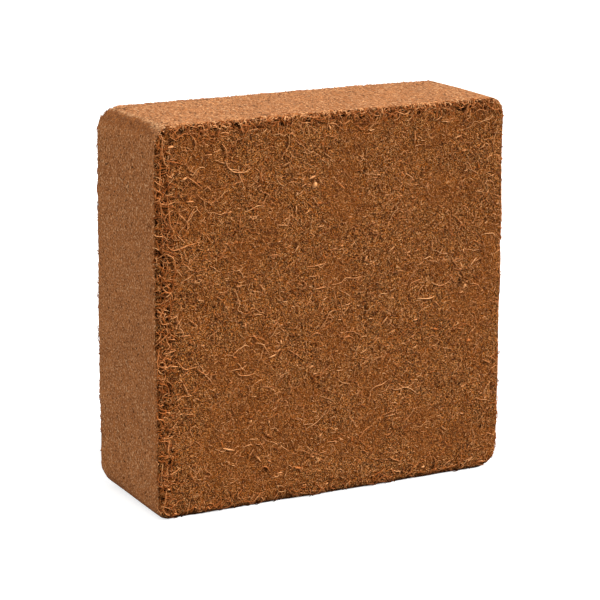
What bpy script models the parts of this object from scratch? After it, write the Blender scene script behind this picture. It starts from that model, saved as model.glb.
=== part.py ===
"""Pressed coconut coir bale: one block of coir pith and short fibre, standing on a narrow side.

The two large faces are the ones that the press closed on. They are lumpy, and their rims have
crumbled where fibre tore away. The four narrow sides slid out of the mould, so they are nearly flat.
"""

from math import hypot

import bmesh
import bpy
from mathutils import Vector, noise

# Driving dimensions, in metres. X is the width, Y the pressing direction, Z up.
WIDTH = 0.300
DEPTH = 0.105
HEIGHT = 0.295

# Radius of each outline corner at the front and at the back pressed face.
# The keys are the signs of x and of z about the middle of the block.
CORNER_RADII = {
    (-1, 1): (0.016, 0.018),
    (1, 1): (0.013, 0.009),
    (-1, -1): (0.010, 0.020),
    (1, -1): (0.018, 0.016),
}
RIM_RADIUS = 0.0025

# Springing back out of the mould leaves the left and right sides and the pressed faces crowned.
SIDE_BULGE = 0.0010
FACE_BULGE = 0.0012

# Cuts near each edge of the block, as distances from it, and the largest cell between them.
OUTLINE_CUTS = (0.0025, 0.0055, 0.009, 0.0135, 0.018)
DEPTH_CUTS = (0.0025, 0.007)
OUTLINE_CELL = 0.0090
DEPTH_CELL = 0.0140

# Relief: the height of each kind, and the size of its lumps.
FACE_SWELL, FACE_SWELL_SIZE = 0.0008, 0.060
FACE_LUMP, FACE_LUMP_SIZE = 0.0011, 0.021
SIDE_WAVE, SIDE_WAVE_SIZE = 0.0003, 0.040
RIM_CRUMB, RIM_CRUMB_SIZE = 0.0042, 0.014
RIM_BITE, RIM_BITE_SIZE = 0.0034, 0.045
RIM_REACH_ON_FACE = 0.011
RIM_REACH_ON_SIDE = 0.004

# The flat that the block stands on stops this far inside the outline and the pressed faces.
FOOT_MARGIN_X = 0.021
FOOT_MARGIN_Y = 0.006

COIR_BROWN = (0.234, 0.079, 0.022, 1.0)
COIR_ROUGHNESS = 0.95


def clear_scene():
    for old in list(bpy.data.objects):
        bpy.data.objects.remove(old)


def stations(length, edge_cuts, largest_cell):
    """Cutting places along one side of the block, measured from its middle."""
    inner = length / 2 - edge_cuts[-1]
    cells = int(2 * inner / largest_cell) + 1
    middle = [-inner + 2 * inner * i / cells for i in range(cells + 1)]
    outer = [length / 2 - cut for cut in edge_cuts[:-1]]
    return sorted(middle + outer + [-place for place in outer])


def cut_block():
    """A box of the driving size about the origin, cut into a lattice that is finer at its edges."""
    mesh = bmesh.new()
    bmesh.ops.create_cube(mesh, size=1.0)
    bmesh.ops.scale(mesh, vec=(WIDTH, DEPTH, HEIGHT), verts=mesh.verts)
    plans = (
        (Vector((1, 0, 0)), stations(WIDTH, OUTLINE_CUTS, OUTLINE_CELL)),
        (Vector((0, 1, 0)), stations(DEPTH, DEPTH_CUTS, DEPTH_CELL)),
        (Vector((0, 0, 1)), stations(HEIGHT, OUTLINE_CUTS, OUTLINE_CELL)),
    )
    for axis, places in plans:
        for place in places:
            everything = mesh.verts[:] + mesh.edges[:] + mesh.faces[:]
            bmesh.ops.bisect_plane(mesh, geom=everything, plane_co=axis * place, plane_no=axis, dist=1e-6)
    return mesh


def sign(value):
    return -1 if value < 0 else 1


def corner_radius(point):
    front, back = CORNER_RADII[sign(point.x), sign(point.z)]
    return front + (back - front) * (point.y / DEPTH + 0.5)


def round_corner(point):
    """Draws the square rings about a corner's centre in to circles."""
    radius = corner_radius(point)
    across = abs(point.x) - (WIDTH / 2 - radius)
    along = abs(point.z) - (HEIGHT / 2 - radius)
    if across <= 0 or along <= 0:
        return
    shrink = max(across, along) / hypot(across, along)
    point.x = sign(point.x) * (WIDTH / 2 - radius + across * shrink)
    point.z = sign(point.z) * (HEIGHT / 2 - radius + along * shrink)


def outline_depth(point):
    """How far a point is inside the rounded outline, and the way out of it."""
    radius = corner_radius(point)
    across = abs(point.x) - (WIDTH / 2 - radius)
    along = abs(point.z) - (HEIGHT / 2 - radius)
    if across > 0 and along > 0:
        reach = hypot(across, along)
        way_out = Vector((sign(point.x) * across, 0, sign(point.z) * along)) / reach
        return radius - reach, way_out
    if across > along:
        return radius - across, Vector((sign(point.x), 0, 0))
    return radius - along, Vector((0, 0, sign(point.z)))


def round_rim(point):
    """Rounds the edge between a pressed face and the mould sides."""
    inside, way_out = outline_depth(point)
    outward = RIM_RADIUS - inside
    forward = RIM_RADIUS - (DEPTH / 2 - abs(point.y))
    if outward <= 0 or forward <= 0:
        return
    shrink = max(outward, forward) / hypot(outward, forward) - 1
    point += way_out * (outward * shrink)
    point.y += sign(point.y) * forward * shrink


def bulge(point):
    """Crowns the left and right sides and the two pressed faces."""
    along_x = min(1, abs(2 * point.x / WIDTH))
    along_z = min(1, abs(2 * point.z / HEIGHT))
    point.x *= 1 + SIDE_BULGE * (1 - along_z**2) / (WIDTH / 2)
    point.y *= 1 + FACE_BULGE * (1 - along_x**4) * (1 - along_z**4) / (DEPTH / 2)


def lumps(point, size, seed):
    """Smooth noise from -1 to 1 whose lumps are about size across."""
    return noise.noise(point / size + Vector((seed, 2.3 * seed, -1.7 * seed)))


def relief(point):
    """How far the rough surface stands out of the smooth block, in metres."""
    inside, _ = outline_depth(point)
    from_face = DEPTH / 2 + FACE_BULGE - abs(point.y)
    on_face = max(0.0, 1 - from_face / RIM_REACH_ON_SIDE)
    near_rim = max(0.0, 1 - max(inside, 0) / RIM_REACH_ON_FACE) * on_face
    swell = FACE_SWELL * lumps(point, FACE_SWELL_SIZE, 1) + FACE_LUMP * lumps(point, FACE_LUMP_SIZE, 2)
    wave = SIDE_WAVE * lumps(point, SIDE_WAVE_SIZE, 3)
    crumb = RIM_CRUMB * min(0.0, lumps(point, RIM_CRUMB_SIZE, 4) - 0.10)
    bite = RIM_BITE * min(0.0, lumps(point, RIM_BITE_SIZE, 5) - 0.05)
    return swell * on_face + wave * (1 - on_face) + (crumb + bite) * near_rim


def is_foot(point):
    """True on the flat that the block stands on. It keeps its plane."""
    on_underside = point.z < -HEIGHT / 2 + 1e-5
    return on_underside and abs(point.x) < WIDTH / 2 - FOOT_MARGIN_X and abs(point.y) < DEPTH / 2 - FOOT_MARGIN_Y


def roughen(mesh):
    mesh.normal_update()
    moves = [(v, v.normal * relief(v.co)) for v in mesh.verts if not is_foot(v.co)]
    for vertex, move in moves:
        vertex.co += move
        vertex.co.z = max(vertex.co.z, -HEIGHT / 2)


def fit_to_size(mesh):
    """Scales out what the relief added, so that the box is the driving size, and stands it on Z = 0."""
    for axis, length in enumerate((WIDTH, DEPTH, HEIGHT)):
        low = min(v.co[axis] for v in mesh.verts)
        high = max(v.co[axis] for v in mesh.verts)
        start = 0.0 if axis == 2 else -length / 2
        for vertex in mesh.verts:
            vertex.co[axis] = start + (vertex.co[axis] - low) * length / (high - low)


def coir_material():
    material = bpy.data.materials.new("pressed coir")
    material.use_nodes = True
    shader = material.node_tree.nodes["Principled BSDF"]
    shader.inputs["Base Color"].default_value = COIR_BROWN
    shader.inputs["Roughness"].default_value = COIR_ROUGHNESS
    shader.inputs["Metallic"].default_value = 0.0
    material.diffuse_color = COIR_BROWN
    return material


def build_bale():
    block = cut_block()
    for shape in (round_corner, round_rim, bulge):
        for vertex in block.verts:
            shape(vertex.co)
    roughen(block)
    fit_to_size(block)
    bmesh.ops.recalc_face_normals(block, faces=block.faces)
    bmesh.ops.triangulate(block, faces=block.faces, quad_method="SHORT_EDGE")

    mesh = bpy.data.meshes.new("coir_bale")
    block.to_mesh(mesh)
    block.free()
    mesh.materials.append(coir_material())
    mesh.shade_smooth()
    bale = bpy.data.objects.new("coir_bale", mesh)
    collection = bpy.data.collections.new("Coconut coir bale")
    bpy.context.scene.collection.children.link(collection)
    collection.objects.link(bale)
    return bale


clear_scene()
build_bale()
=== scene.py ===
"""Dresses the pressed coconut coir bale: its pith skin, and the loose fibre and chips that lie on it."""

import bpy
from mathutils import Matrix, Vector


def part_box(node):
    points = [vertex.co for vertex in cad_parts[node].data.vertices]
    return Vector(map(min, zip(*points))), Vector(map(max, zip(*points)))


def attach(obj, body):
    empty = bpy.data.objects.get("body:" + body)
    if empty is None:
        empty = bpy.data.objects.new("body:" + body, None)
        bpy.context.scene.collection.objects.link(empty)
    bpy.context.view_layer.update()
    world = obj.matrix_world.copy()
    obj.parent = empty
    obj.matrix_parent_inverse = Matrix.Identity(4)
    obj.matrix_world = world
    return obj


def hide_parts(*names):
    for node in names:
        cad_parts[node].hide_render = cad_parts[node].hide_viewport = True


bl_info = {
    "name": "Coir bale dresser",
    "version": (1, 0, 0),
    "blender": (4, 5, 0),
    "location": "View3D > Sidebar > Coir",
    "description": "Dresses a pressed coconut coir bale with its pith skin, fibres and chips",
    "category": "Add Mesh",
}

from functools import partial
from math import cos, pi, radians, sin

import bmesh
import bpy
import numpy as np
from bpy.props import FloatProperty, FloatVectorProperty, IntProperty, PointerProperty
from mathutils import Matrix, Vector, noise

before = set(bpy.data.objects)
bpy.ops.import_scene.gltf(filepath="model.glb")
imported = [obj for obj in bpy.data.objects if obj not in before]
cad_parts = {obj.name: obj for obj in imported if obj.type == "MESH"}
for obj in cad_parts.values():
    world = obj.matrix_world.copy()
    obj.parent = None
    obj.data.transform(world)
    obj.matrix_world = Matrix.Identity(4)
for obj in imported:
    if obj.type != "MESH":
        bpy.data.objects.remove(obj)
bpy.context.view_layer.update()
NODE = "coir_bale"
LOW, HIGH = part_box(NODE)
MIDDLE = (LOW + HIGH) / 2
HALF = (HIGH - LOW) / 2
MM = 0.001

# Where the bake lays the six sides of the bale, in metres on a square sheet that holds them all.
SHEET = 0.622
CHART_GAP = 0.004

# What the photograph shows on the front: x from the middle of the bale and z from the floor, in mm.
# Each strand is the x and z of the points that it passes through, in turn.
FRONT_STRANDS = {
    "thick": (
        (-96, 278, -93, 274, -92, 268), (-65, 254, -63, 246),
        (-140, 244, -139, 234, -138, 223, -135, 216, -139, 213), (-118, 233, -123, 226, -124, 221, -123, 218),
        (-142, 209, -137, 204, -131, 204, -124, 206, -118, 207, -114, 211), (67, 275, 67, 265),
        (-143, 202, -136, 198, -134, 189), (5, 119, 8, 122, 12, 123), (-62, 30, -59, 30, -56, 26),
    ),
    "tan": (
        (-93, 266, -92, 262, -87, 257, -78, 256, -72, 259), (-69, 258, -65, 255), (-62, 240, -57, 237),
        (-145, 262, -146, 249, -144, 245), (-125, 257, -118, 252, -112, 247), (-108, 248, -105, 245),
        (-132, 214, -126, 208), (-110, 271, -104, 271), (-103, 272, -97, 274), (-117, 233, -113, 228),
        (-131, 230, -125, 224), (-143, 287, -144, 278, -142, 268, -138, 264), (-121, 287, -117, 281, -118, 275),
        (-137, 286, -132, 283), (-88, 247, -84, 249), (-28, 220, -24, 222), (102, 266, 109, 268),
        (131, 219, 135, 223), (136, 234, 140, 235), (95, 209, 98, 212), (104, 206, 108, 202, 114, 196),
        (-130, 201, -129, 198, -128, 193, -124, 191), (-144, 176, -141, 178, -138, 179),
        (-143, 140, -140, 142, -142, 146), (-139, 138, -134, 137), (-144, 127, -134, 129), (-138, 153, -133, 154),
        (-146, 158, -145, 150, -139, 150), (-134, 146, -129, 152),
        (-134, 122, -131, 118, -127, 114, -123, 114, -117, 115), (-130, 108, -123, 113),
        (-117, 113, -110, 108, -107, 110), (-122, 150, -116, 145), (-129, 139, -122, 139), (-57, 192, -50, 192),
        (-44, 196, -39, 198), (-56, 137, -50, 141), (-53, 118, -48, 120), (-87, 118, -87, 121, -83, 123),
        (-84, 107, -82, 104, -75, 103, -69, 104), (-20, 162, -9, 163), (-16, 145, -14, 152),
        (-14, 131, -9, 137, -6, 143, -2, 144), (-23, 125, -19, 128, -15, 128, -12, 126),
        (-30, 163, -26, 166, -29, 170), (-25, 180, -18, 180, -11, 181, -9, 182), (45, 120, 52, 123),
        (-1, 112, 2, 113), (72, 146, 73, 152, 77, 155), (63, 154, 66, 158, 75, 160), (84, 189, 84, 181),
        (71, 171, 76, 173), (101, 175, 104, 170, 108, 165), (108, 162, 108, 157), (87, 141, 92, 136),
        (127, 102, 125, 96), (120, 112, 124, 115), (133, 89, 140, 85), (140, 81, 146, 83), (67, 106, 72, 108),
        (-79, 47, -76, 49, -71, 49), (-88, 42, -82, 46), (-74, 40, -70, 45), (-68, 40, -63, 34),
        (-129, 94, -135, 90), (-128, 103, -124, 95), (-82, 14, -83, 10, -80, 7), (31, 77, 35, 80, 41, 81, 45, 83),
        (29, 67, 30, 72, 31, 76), (21, 40, 23, 43, 27, 47, 33, 49), (-13, 34, -7, 35), (138, 29, 143, 27),
    ),
    "pale": (
        (-78, 226, -72, 228, -67, 230, -61, 229), (-46, 217, -41, 219), (-122, 294, -116, 292), (-50, 284, -49, 280),
        (-46, 258, -40, 260), (-30, 241, -26, 243), (2, 293, 5, 288), (24, 292, 28, 288, 31, 286), (6, 258, 7, 254),
        (-16, 209, -11, 210), (77, 230, 80, 234), (138, 274, 141, 278), (85, 281, 91, 284), (124, 223, 128, 225),
        (130, 227, 133, 231), (-70, 149, -63, 148), (-4, 164, -1, 164, 4, 165, 8, 168, 16, 167, 23, 168),
        (-12, 153, -8, 155), (7, 147, 12, 148), (21, 108, 26, 110), (52, 172, 55, 171),
        (84, 156, 91, 153, 97, 154, 102, 157), (76, 175, 83, 177), (89, 176, 92, 180, 93, 182), (109, 145, 113, 146),
        (94, 139, 97, 140), (97, 130, 98, 131), (106, 119, 110, 122), (-145, 45, -147, 27), (-131, 84, -133, 81),
        (41, 75, 44, 76, 48, 80), (49, 77, 54, 75, 61, 76, 67, 74, 73, 69), (44, 55, 53, 56), (51, 52, 51, 46),
        (3, 44, 7, 42), (144, 25, 142, 22),
    ),
    "fine": (
        (-81, 225, -82, 210), (-32, 250, -23, 254), (98, 211, 100, 209, 100, 197), (117, 261, 118, 254, 122, 251),
        (-42, 119, -37, 116, -29, 110), (-103, 141, -103, 130), (4, 142, 5, 138, 7, 133, 10, 129, 9, 123),
        (-2, 160, 0, 148), (55, 80, 62, 76, 70, 79), (50, 25, 49, 22, 54, 19, 59, 17), (-14, 93, -13, 96, -5, 102),
    ),
    "stout pale": (
        (-142, 169, -139, 171, -137, 173), (-36, 192, -33, 197), (72, 145, 81, 144, 86, 145),
        (118, 164, 121, 168, 125, 171),
    ),
}
# Each chip of husk: x, z, how wide and how high it is, and its shade.
FRONT_CHIPS = (
    (-137, 279, 4.4, 2.4, 0.9), (-126, 255, 3.5, 2.4, 0.9), (-113, 293, 2.6, 1.6, 1.0), (-101, 292, 3.5, 1.6, 0.9),
    (-94, 291, 3.5, 1.6, 0.9), (-21, 247, 5.3, 2.0, 0.9), (-19, 241, 4.4, 4.7, 0.9), (-6, 283, 1.8, 3.2, 0.9),
    (-12, 271, 1.8, 3.2, 0.6), (33, 247, 2.6, 1.2, 0.9), (36, 244, 2.6, 1.6, 0.9), (56, 226, 1.8, 1.6, 0.9),
    (66, 224, 1.8, 1.6, 0.9), (12, 214, 2.6, 1.6, 0.9), (112, 256, 4.4, 1.6, 0.66), (125, 243, 1.8, 4.0, 0.66),
    (82, 240, 2.6, 1.6, 0.9), (132, 279, 2.6, 1.6, 0.9), (144, 212, 2.6, 2.4, 0.9), (133, 198, 2.6, 1.6, 0.9),
    (-117, 170, 2.6, 1.6, 0.9), (-77, 141, 1.8, 3.2, 0.9), (-47, 125, 1.8, 3.2, 0.9), (-69, 175, 2.6, 1.6, 0.66),
    (-71, 126, 2.6, 1.6, 0.66), (-63, 164, 2.6, 1.6, 0.66), (-112, 130, 2.6, 1.6, 0.9), (48, 173, 2.6, 2.4, 0.66),
    (63, 182, 2.6, 1.6, 0.9), (72, 183, 2.6, 1.6, 0.66), (60, 111, 2.6, 1.6, 0.9), (110, 164, 2.6, 1.6, 0.9),
    (114, 150, 2.6, 4.0, 0.9), (88, 119, 3.5, 2.4, 0.66), (119, 106, 3.5, 3.2, 0.66), (-91, 48, 9.7, 1.6, 0.9),
    (-140, 24, 3.5, 1.6, 0.9), (-123, 94, 2.6, 1.6, 0.9), (-102, 35, 2.6, 1.6, 0.66), (15, 41, 1.8, 4.0, 0.66),
    (-32, 25, 5.3, 2.4, 0.66), (-21, 103, 4.4, 1.6, 0.9), (-18, 97, 2.6, 2.4, 0.9), (47, 40, 2.6, 1.6, 0.66),
    (114, 70, 2.6, 2.4, 0.9), (132, 62, 2.6, 1.6, 0.9), (114, 48, 2.6, 1.6, 0.9), (80, 9, 3.5, 2.4, 0.9),
    (57, 71, 2.6, 1.6, 0.9),
)
# Each dark hole: x, z, how wide and how high it is.
FRONT_PITS = (
    (-4, 289, 5.3, 3.2), (7, 285, 5.3, 2.4), (15, 292, 6.2, 2.4), (31, 291, 2.6, 2.4), (53, 292, 2.6, 1.6),
    (9, 272, 2.6, 2.4), (41, 274, 1.8, 4.7), (67, 276, 5.3, 2.4), (-59, 231, 2.6, 1.6), (40, 211, 2.6, 2.4),
    (6, 209, 1.8, 3.2), (18, 248, 1.8, 4.7), (24, 247, 1.8, 4.7), (122, 249, 1.8, 3.2), (110, 155, 1.8, 4.7),
    (110, 151, 3.5, 4.0), (79, 290, 2.6, 3.2), (80, 293, 2.6, 3.2), (87, 288, 2.6, 3.2), (93, 292, 2.6, 3.2),
    (101, 293, 2.6, 3.2), (109, 287, 2.6, 3.2), (116, 289, 2.6, 3.2), (120, 285, 2.6, 3.2), (122, 288, 2.6, 3.2),
    (128, 289, 2.6, 3.2), (131, 288, 2.6, 3.2), (134, 285, 2.6, 3.2), (-142, 198, 7.0, 4.0), (-144, 182, 3.5, 3.2),
    (-140, 205, 2.6, 2.4), (-141, 165, 2.6, 2.4), (-144, 160, 5.3, 3.2), (-138, 158, 2.6, 2.4),
    (-145, 142, 4.4, 3.2), (-149, 186, 1.8, 3.2), (-148, 106, 5.3, 2.4), (-145, 90, 2.6, 6.3), (-146, 47, 3.5, 3.2),
    (-143, 27, 3.5, 1.6), (-138, 22, 2.6, 3.2), (-79, 142, 1.8, 1.6), (-67, 121, 1.8, 1.6), (-59, 179, 1.8, 1.6),
    (-7, 108, 1.8, 1.6), (-7, 104, 1.8, 1.6), (-25, 110, 1.8, 1.6), (-14, 104, 1.8, 1.6), (-9, 127, 1.8, 1.6),
    (14, 169, 1.8, 1.6), (-21, 132, 1.8, 3.2), (26, 143, 1.3, 6.3), (-117, 48, 1.8, 1.6), (-58, 28, 3.5, 2.4),
    (-15, 86, 3.5, 2.4), (23, 10, 2.6, 2.4), (57, 8, 3.5, 2.0), (64, 8, 3.5, 2.0),
    (111, 72, 1.8, 2.4), (113, 48, 1.8, 2.4), (133, 35, 1.8, 2.4),
)
# The shade of each kind of strand, from 0, dark, to 1, straw, and how thick it is next to a short fibre.
STRAND_KINDS = {
    "thick": (0.72, 2.1),
    "tan": (0.76, 1.6),
    "pale": (0.86, 1.3),
    "fine": (0.74, 1.1),
    "stout pale": (0.92, 1.8),
}


def linear(hex_colour):
    """An sRGB hex value as linear red, green, blue and an alpha of 1."""
    parts = [int(hex_colour[i : i + 2], 16) / 255 for i in (1, 3, 5)]
    return (*[p / 12.92 if p <= 0.04045 else ((p + 0.055) / 1.055) ** 2.4 for p in parts], 1.0)


def length(name, description, default):
    """A property that holds a length, given in metres."""
    return FloatProperty(name=name, description=description, default=default, min=0, unit="LENGTH", precision=5)


def amount(name, description, default):
    return FloatProperty(name=name, description=description, default=default)


def integer(name, description, default):
    return IntProperty(name=name, description=description, default=default)


def colour(name, description, hex_colour):
    return FloatVectorProperty(
        name=name, description=description, default=linear(hex_colour), size=4, subtype="COLOR", min=0, max=1
    )


def add(tree, kind, inputs=(), out=0, **settings):
    """Adds a node with its settings, fills or links its inputs, which are named or numbered, and gives an output."""
    made = tree.nodes.new(kind)
    for key, value in settings.items():
        setattr(made, key, value)
    for key, value in inputs.items() if isinstance(inputs, dict) else enumerate(inputs):
        if isinstance(value, bpy.types.NodeSocket):
            tree.links.new(value, made.inputs[key])
        else:
            made.inputs[key].default_value = value
    return made.outputs[out] if made.outputs else None


class PithSkin(bpy.types.PropertyGroup):
    """Sizes and colours of the pressed pith, which is the body of the bale."""

    cell: length("Cell", "Size of the faces of the fine surface", 1.78 * MM)
    rim_reach: length("Rim reach", "How far the torn band runs in from the left edge of a pressed face", 20 * MM)
    wrap: length("Wrap", "How far the torn edge of the pressed face runs on to the mould sides", 1.4 * MM)
    face_grain: length("Face grain", "Depth of the grain on the pressed faces", 0.5 * MM)
    face_pit: length("Face pit", "Depth of the holes between fibres on the pressed faces", 0.7 * MM)
    rim_pit: length("Rim pit", "Depth of the holes in the torn band", 5.6 * MM)
    front_pit: length("Front pit", "Depth of the holes that the photograph shows on the front", 2.4 * MM)
    side_grain: length("Side grain", "Depth of the grain on the mould sides", 0.16 * MM)
    pressed: colour("Pressed pith", "Pith of the pressed faces", "#823F0F")
    smoothed: colour("Smoothed pith", "Fine dust that fills the smooth patches of the pressed faces", "#8A491A")
    # The colour of painted shade in the gaps, pits, holes and notches and at the foot.
    shade: colour("Pit", "Pith in the holes between the fibres", "#331704")
    bit: colour("Fibre bit", "Short bits of fibre bedded in the pressed faces", "#B36522")
    # Pale bits of fibre, and the painted highlight of the pale specks on the pressed faces.
    pale_bit_and_glint: colour("Pale bit", "The palest bits of fibre", "#E0A062")
    greyed: colour("Greyed", "What the greyer patches of the pressed faces are tinted with", "#DDE4FF")
    rubbed: colour("Rubbed pith", "Pith dust that the mould rubbed smooth", "#B37546")
    rubbed_dark: colour("Rubbed pith, dark", "Darker grains of the mould sides", "#704022")
    # Painted shade in the small hollows of the top.
    hollow_shade: colour("Hollow", "Small hollows in the dust of the top", "#3E1B07")
    rubbed_off: colour("Rubbed off", "Orange pith where a corner lost its dust", "#BC7238")
    # Partly settled dust, partly painted light: the paler tint of the top.
    settled: colour("Settled dust", "Loose dust that lies on the top", "#C59B78")
    dust: colour("Dust", "Pale specks on the mould sides", "#DCAB7C")


class LooseFibre(bpy.types.PropertyGroup):
    """Sizes and colours of the fibres and chips on the bale."""

    seed: integer("Seed", "Fixes where the fibres lie", 7)
    mat_per_face: integer("Mat fibres", "Short fibres on each pressed face", 12000)
    bits: integer("Bits", "Broken bits of fibre on each pressed face", 11000)
    strands: integer("Strands", "Long curly fibres on a pressed face, before its share", 520)
    tangle: integer("Rim fibres", "Fibres in the torn band of each pressed face", 1400)
    brow: integer("Edge chips", "Chips on the top edge of each pressed face", 650)
    crumbs: integer("Crumbs", "Crumbs of pith that settled on the top", 4000)
    side: integer("Side fibres", "Short fibres rubbed flat on the mould sides", 1000)
    slivers: integer("Slivers", "Flat slivers of husk on the pressed faces", 90)
    thickness: length("Thickness", "Thickness of a short fibre", 0.63 * MM)
    dark: colour("Dark fibre", "The darkest fibres", "#482207")
    tan: colour("Tan fibre", "Most of the fibres", "#A6591C")
    straw: colour("Straw fibre", "The palest fibres", "#E6A86E")


class StudioStage(bpy.types.PropertyGroup):
    """The camera, which is fitted to the photograph's outline of the bale, and the lights."""

    lens: amount("Lens", "Focal length in mm on a 36 mm sensor", 157.0)
    distance: length("Distance", "From the camera to the point that it looks at", 2.0041)
    azimuth: amount("Azimuth", "Degrees round the bale from its front", -29.296)
    elevation: amount("Elevation", "Degrees above the horizon", 13.506)
    roll: amount("Roll", "Degrees that the camera leans", 0.301)
    key: amount("Key", "Strength of the light at the upper right", 6.1)
    fill: amount("Fill", "Strength of the wide soft light at the left", 2.6)
    sky: amount("Sky", "Strength of the white surroundings", 0.22)
    glow: amount("Glow", "How much the floor shines of itself, as a light table", 0.70)
    floor: colour("Floor", "The pale floor", "#BCBCBA")


def added(name, data):
    """A new object in the scene, with that data."""
    made = bpy.data.objects.new(name, data)
    bpy.context.scene.collection.objects.link(made)
    return made


def smooth_skin(cell):
    """A closed copy of the bale's solid in even cells, with its facets smoothed out."""
    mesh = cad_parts[NODE].data.copy()
    shell = bmesh.new()
    shell.from_mesh(mesh)
    bmesh.ops.remove_doubles(shell, verts=shell.verts, dist=1e-6)
    shell.to_mesh(mesh)
    shell.free()
    skin = added("skin", mesh)
    rounding = skin.modifiers.new("rounding", "SUBSURF")
    rounding.levels = rounding.render_levels = 1
    cells = skin.modifiers.new("cells", "REMESH")
    cells.mode = "VOXEL"
    cells.voxel_size = cell
    smoothing = skin.modifiers.new("smoothing", "SMOOTH")
    smoothing.factor = 0.5
    smoothing.iterations = 3
    return finished(skin, "skin")


def finished(made, name):
    """Turns an object and its modifiers into a plain mesh with that name, and removes the first object."""
    graph = bpy.context.evaluated_depsgraph_get()
    mesh = bpy.data.meshes.new_from_object(made.evaluated_get(graph))
    bpy.data.objects.remove(made)
    mesh.name = name
    return added(name, mesh)


def pulled(items, key, width=1, kind=np.float32):
    """The values that each item of a mesh has under that key: one, or a row of width."""
    found = np.empty(len(items) * width, kind)
    items.foreach_get(key, found)
    found = found.astype(float) if kind is np.float32 else found
    return found.reshape(-1, width) if width > 1 else found


def points_and_normals(mesh):
    return pulled(mesh.vertices, "co", 3), pulled(mesh.vertex_normals, "vector", 3)


def store(mesh, name, values):
    attribute = mesh.attributes.get(name) or mesh.attributes.new(name, "FLOAT", "POINT")
    attribute.data.foreach_set("value", np.asarray(values, np.float32))


def read(mesh, name):
    return pulled(mesh.attributes[name].data, "value")


def inside_outline(points, corner=0.015):
    """How far each point is inside the rounded square outline of the bale."""
    across = np.abs(points[:, 0] - MIDDLE.x) - (HALF.x - corner)
    along = np.abs(points[:, 2] - MIDDLE.z) - (HALF.z - corner)
    outer = np.hypot(np.maximum(across, 0), np.maximum(along, 0))
    return corner - outer - np.minimum(np.maximum(across, along), 0)


def ramp(values, low, high):
    """0 below low, 1 above high, and smooth between them. It falls where low is above high."""
    part = np.clip((values - low) / (high - low), 0, 1)
    return part * part * (3 - 2 * part)


def grain(points, size, seed):
    """Smooth noise from -1 to 1 at each point, with lumps of that size."""
    offset = Vector((3.1 * seed, -1.9 * seed, 0.7 * seed))
    return np.array([noise.noise(Vector(p) / size + offset) for p in points])


def front_pits(points):
    """1 in the dark holes of the photographed front, and 0 away from them."""
    deepest = np.zeros(len(points))
    x, y, z = points.T / MM
    for middle_x, middle_z, wide, high in FRONT_PITS:
        # A hole is never much narrower than the cells of the skin.
        away = np.hypot((x - middle_x) / max(0.38 * wide, 0.8), (z - middle_z) / max(0.38 * high, 0.8))
        deepest = np.maximum(deepest, ramp(away, 1.4, 0.4))
    return deepest * (y < 0)


def torn_band(points, reach):
    """1 at the torn edges of a pressed face, and 0 further in. The left edge and the top tore most."""
    x, _, z = points.T
    band = np.zeros(len(points))
    # The left edge, the top, the bottom and the right edge: how wide each is next to the widest, and how torn.
    edges = ((x - LOW.x, 1.0, 1.0), (HIGH.z - z, 0.65, 1.0), (z - LOW.z, 0.55, 0.8), (HIGH.x - x, 0.35, 0.35))
    for away, wide, torn in edges:
        band = np.maximum(band, torn * ramp(away, wide * reach, 0.3 * wide * reach))
    return band


# Where regions of the skin fade in: not yet, and fully. A turn is how far the normal points that way.
FACE_TURN = (0.45, 0.8)
UNDERSIDE_TURN = (-0.6, -0.2)
BROW_TURN = (0.15, 0.5)
BROW_FACING = (0.1, 0.4)
TOP_DUST_AND_LIGHT_TURN = (0.86, 0.91)
EDGE_REACH = (6 * MM, 2 * MM)
WRAP_FADE = (2.4 * MM, -0.6 * MM)
FOOT_REACH = (11 * MM, 4 * MM)


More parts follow.
